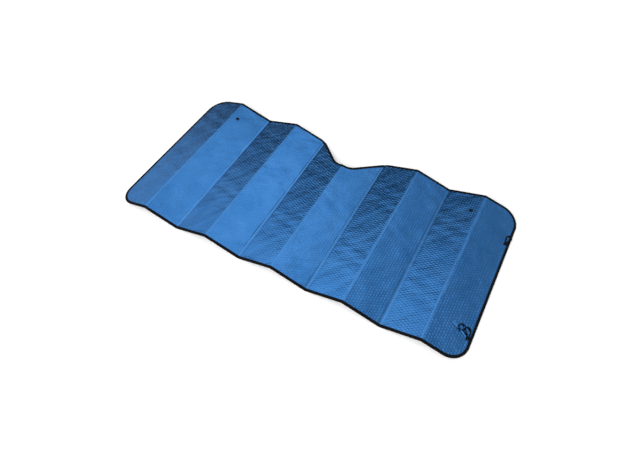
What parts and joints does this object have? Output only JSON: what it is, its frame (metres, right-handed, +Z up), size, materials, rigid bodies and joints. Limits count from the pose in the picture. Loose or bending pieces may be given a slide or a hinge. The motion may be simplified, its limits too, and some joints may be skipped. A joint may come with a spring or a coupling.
{
  "type": "folding windscreen sunshade",
  "caption": "Concertina car windscreen sunshade of quilted blue foil with a rounded outline, a mirror notch, black bound edge, eyelets and elastic closing loops.",
  "frame": {"origin": "on the floor, under the middle crease and half way up the shade, with the shade standing open in its zigzag", "axes": "+X runs along the shade towards the elastic loops, +Y towards the edge with the mirror notch, +Z up out of the blue face"},
  "size_m": [1.2589, 0.6, 0.0409],
  "materials": {
    "blue_film": "satin",
    "bubble_core": "matte",
    "silver_film": "satin",
    "edge_tape": "matte",
    "seam_thread": "matte",
    "eyelet": "satin",
    "elastic_cord": "matte",
    "loop_tack": "matte"
  },
  "bodies": {
    "panel_1": {"front_film_1": "blue_film", "bubble_core_1": "bubble_core", "back_film_1": "silver_film", "edge_tape_1": "edge_tape", "seam_thread_1": "seam_thread"},
    "panel_2": {"front_film_2": "blue_film", "bubble_core_2": "bubble_core", "back_film_2": "silver_film", "edge_tape_2": "edge_tape", "seam_thread_2": "seam_thread", "eyelet_left": "eyelet", "eyelet_washer_left": "eyelet"},
    "panel_3": {"front_film_3": "blue_film", "bubble_core_3": "bubble_core", "back_film_3": "silver_film", "edge_tape_3": "edge_tape", "seam_thread_3": "seam_thread"},
    "panel_4": {"front_film_4": "blue_film", "bubble_core_4": "bubble_core", "back_film_4": "silver_film", "edge_tape_4": "edge_tape", "seam_thread_4": "seam_thread"},
    "panel_5": {"front_film_5": "blue_film", "bubble_core_5": "bubble_core", "back_film_5": "silver_film", "edge_tape_5": "edge_tape", "seam_thread_5": "seam_thread"},
    "panel_6": {"front_film_6": "blue_film", "bubble_core_6": "bubble_core", "back_film_6": "silver_film", "edge_tape_6": "edge_tape", "seam_thread_6": "seam_thread"},
    "panel_7": {"front_film_7": "blue_film", "bubble_core_7": "bubble_core", "back_film_7": "silver_film", "edge_tape_7": "edge_tape", "seam_thread_7": "seam_thread"},
    "panel_8": {"front_film_8": "blue_film", "bubble_core_8": "bubble_core", "back_film_8": "silver_film", "edge_tape_8": "edge_tape", "seam_thread_8": "seam_thread"},
    "panel_9": {"front_film_9": "blue_film", "bubble_core_9": "bubble_core", "back_film_9": "silver_film", "edge_tape_9": "edge_tape", "seam_thread_9": "seam_thread", "eyelet_right": "eyelet", "eyelet_washer_right": "eyelet"},
    "panel_10": {"front_film_10": "blue_film", "bubble_core_10": "bubble_core", "back_film_10": "silver_film", "edge_tape_10": "edge_tape", "seam_thread_10": "seam_thread", "elastic_loop_lower": "elastic_cord", "loop_tack_lower": "loop_tack", "elastic_loop_upper": "elastic_cord", "loop_tack_upper": "loop_tack"}
  },
  "joints": [
    {"name": "fold_5", "type": "hinge", "parent": "panel_5", "child": "panel_6", "pos_m": [0, 0, 0.03539], "axis": [0, 1, 0], "range_deg": [-32.5, 147.5]},
    {"name": "fold_6", "type": "hinge", "parent": "panel_6", "child": "panel_7", "pos_m": [0.12462, 0, 0.00552], "axis": [0, -1, 0], "range_deg": [-32.5, 147.5]},
    {"name": "fold_7", "type": "hinge", "parent": "panel_7", "child": "panel_8", "pos_m": [0.24924, 0, 0.03539], "axis": [0, 1, 0], "range_deg": [-32.5, 147.5]},
    {"name": "fold_8", "type": "hinge", "parent": "panel_8", "child": "panel_9", "pos_m": [0.37386, 0, 0.00552], "axis": [0, -1, 0], "range_deg": [-32.5, 147.5]},
    {"name": "fold_9", "type": "hinge", "parent": "panel_9", "child": "panel_10", "pos_m": [0.49849, 0, 0.03539], "axis": [0, 1, 0], "range_deg": [-32.5, 147.5]},
    {"name": "fold_4", "type": "hinge", "parent": "panel_5", "child": "panel_4", "pos_m": [-0.12462, 0, 0.00552], "axis": [0, 1, 0], "range_deg": [-32.5, 147.5]},
    {"name": "fold_3", "type": "hinge", "parent": "panel_4", "child": "panel_3", "pos_m": [-0.24924, 0, 0.03539], "axis": [0, -1, 0], "range_deg": [-32.5, 147.5]},
    {"name": "fold_2", "type": "hinge", "parent": "panel_3", "child": "panel_2", "pos_m": [-0.37386, 0, 0.00552], "axis": [0, 1, 0], "range_deg": [-32.5, 147.5]},
    {"name": "fold_1", "type": "hinge", "parent": "panel_2", "child": "panel_1", "pos_m": [-0.49849, 0, 0.03539], "axis": [0, -1, 0], "range_deg": [-32.5, 147.5]}
  ],
  "couplings": [
    {"joint": "fold_6", "follows": "fold_5", "ratio": 1},
    {"joint": "fold_7", "follows": "fold_5", "ratio": 1},
    {"joint": "fold_8", "follows": "fold_5", "ratio": 1},
    {"joint": "fold_9", "follows": "fold_5", "ratio": 1},
    {"joint": "fold_4", "follows": "fold_5", "ratio": 1},
    {"joint": "fold_3", "follows": "fold_5", "ratio": 1},
    {"joint": "fold_2", "follows": "fold_5", "ratio": 1},
    {"joint": "fold_1", "follows": "fold_5", "ratio": 1}
  ]
}
